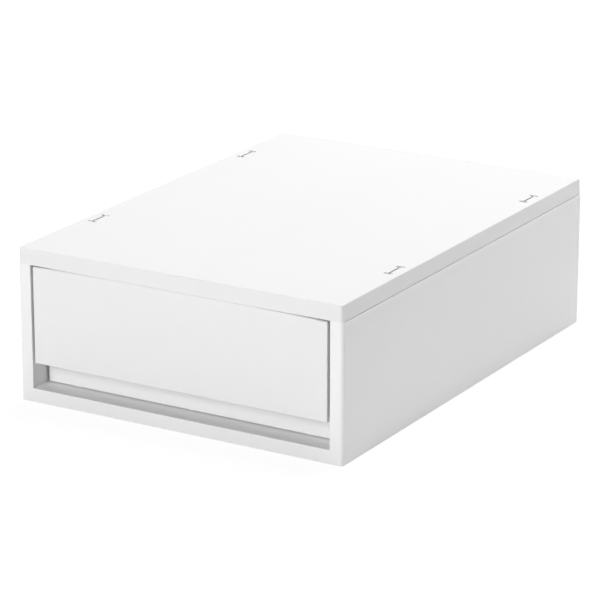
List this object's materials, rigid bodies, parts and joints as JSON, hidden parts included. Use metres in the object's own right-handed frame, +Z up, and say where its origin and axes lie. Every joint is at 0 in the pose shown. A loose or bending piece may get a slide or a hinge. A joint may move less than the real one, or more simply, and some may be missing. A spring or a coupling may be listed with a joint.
{
  "type": "stackable drawer box",
  "caption": "Low white drawer box with double side walls, a clipped-on top panel with joint slots, and a sliding tray whose hollow front leaves a finger recess below.",
  "frame": {"origin": "on the surface that the box stands on, under the middle of the box", "axes": "+X to the right across the front, +Y from the front to the back, +Z up; the drawer opens towards -Y"},
  "size_m": [0.26, 0.356, 0.1126],
  "materials": {
    "case_plastic": "fine grained matte polypropylene, opaque white",
    "top_panel_plastic": "fine grained matte polypropylene, opaque white",
    "tray_plastic": "satin polypropylene, opaque white",
    "front_plastic": "fine grained matte polypropylene, opaque white",
    "foot_rubber": "soft matte elastomer, pale grey"
  },
  "bodies": {
    "case": {"case_body": "case_plastic", "top_panel": "top_panel_plastic", "foot_pad_front_left": "foot_rubber", "foot_pad_back_left": "foot_rubber", "foot_pad_front_right": "foot_rubber", "foot_pad_back_right": "foot_rubber"},
    "drawer": {"drawer_tray": "tray_plastic", "drawer_front": "front_plastic"}
  },
  "joints": [
    {"name": "drawer_slide", "type": "slide", "parent": "case", "child": "drawer", "axis": [0, -1, 0], "range_m": [0, 0.2735]}
  ]
}
